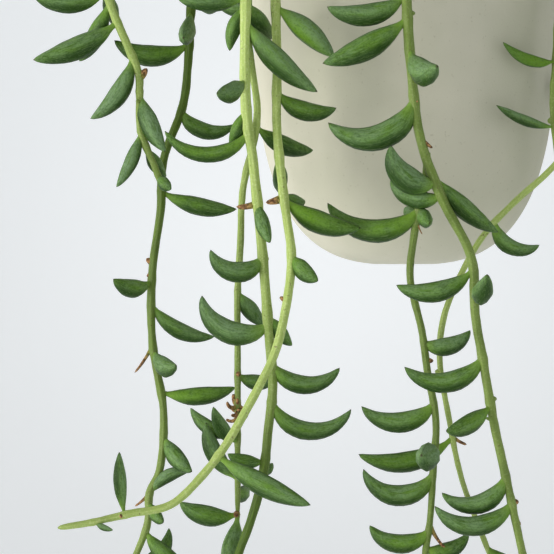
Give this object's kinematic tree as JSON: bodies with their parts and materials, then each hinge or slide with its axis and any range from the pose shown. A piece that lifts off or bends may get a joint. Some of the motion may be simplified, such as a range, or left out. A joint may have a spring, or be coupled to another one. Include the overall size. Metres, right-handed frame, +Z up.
{
  "type": "hanging pot with a trailing fishhook-leaved succulent",
  "caption": "Hanging round-bottomed pot on a wire hanger, filled with soil and a trailing succulent with hooked, banana-shaped leaves on long stems.",
  "frame": {"origin": "hang point, at the middle of the hook's inside top, where the hook rests on what holds it", "axes": "+Z up along the pot's axis, -Y towards the front of the plant, +X to its right"},
  "size_m": [0.236, 0.2021, 0.4288],
  "materials": {
    "pot_glaze": "matt cream glaze on fired clay",
    "soil": "crumbly dark potting soil",
    "leafy_stem": "fleshy green leaves with a grey-blue bloom, on yellow-green stems",
    "steel_wire": "drawn steel wire, satin"
  },
  "bodies": {
    "root": {"pot": "pot_glaze", "soil": "soil", "hanger_wire_1": "steel_wire", "hanger_wire_2": "steel_wire", "hanger_wire_3": "steel_wire", "hook": "steel_wire", "stem_left_short": "leafy_stem", "stem_left_long": "leafy_stem", "stem_centre_forked": "leafy_stem", "stem_centre_curved": "leafy_stem", "stem_right_forked": "leafy_stem", "stem_right_pale": "leafy_stem", "stem_far_right": "leafy_stem", "stem_side_1": "leafy_stem", "stem_side_2": "leafy_stem", "stem_side_3": "leafy_stem", "stem_side_4": "leafy_stem", "stem_back_1": "leafy_stem", "stem_back_2": "leafy_stem", "stem_back_3": "leafy_stem", "stem_back_4": "leafy_stem", "stem_back_5": "leafy_stem", "shoot_1": "leafy_stem", "shoot_2": "leafy_stem", "shoot_3": "leafy_stem", "shoot_4": "leafy_stem", "shoot_5": "leafy_stem"}
  },
  "joints": []
}
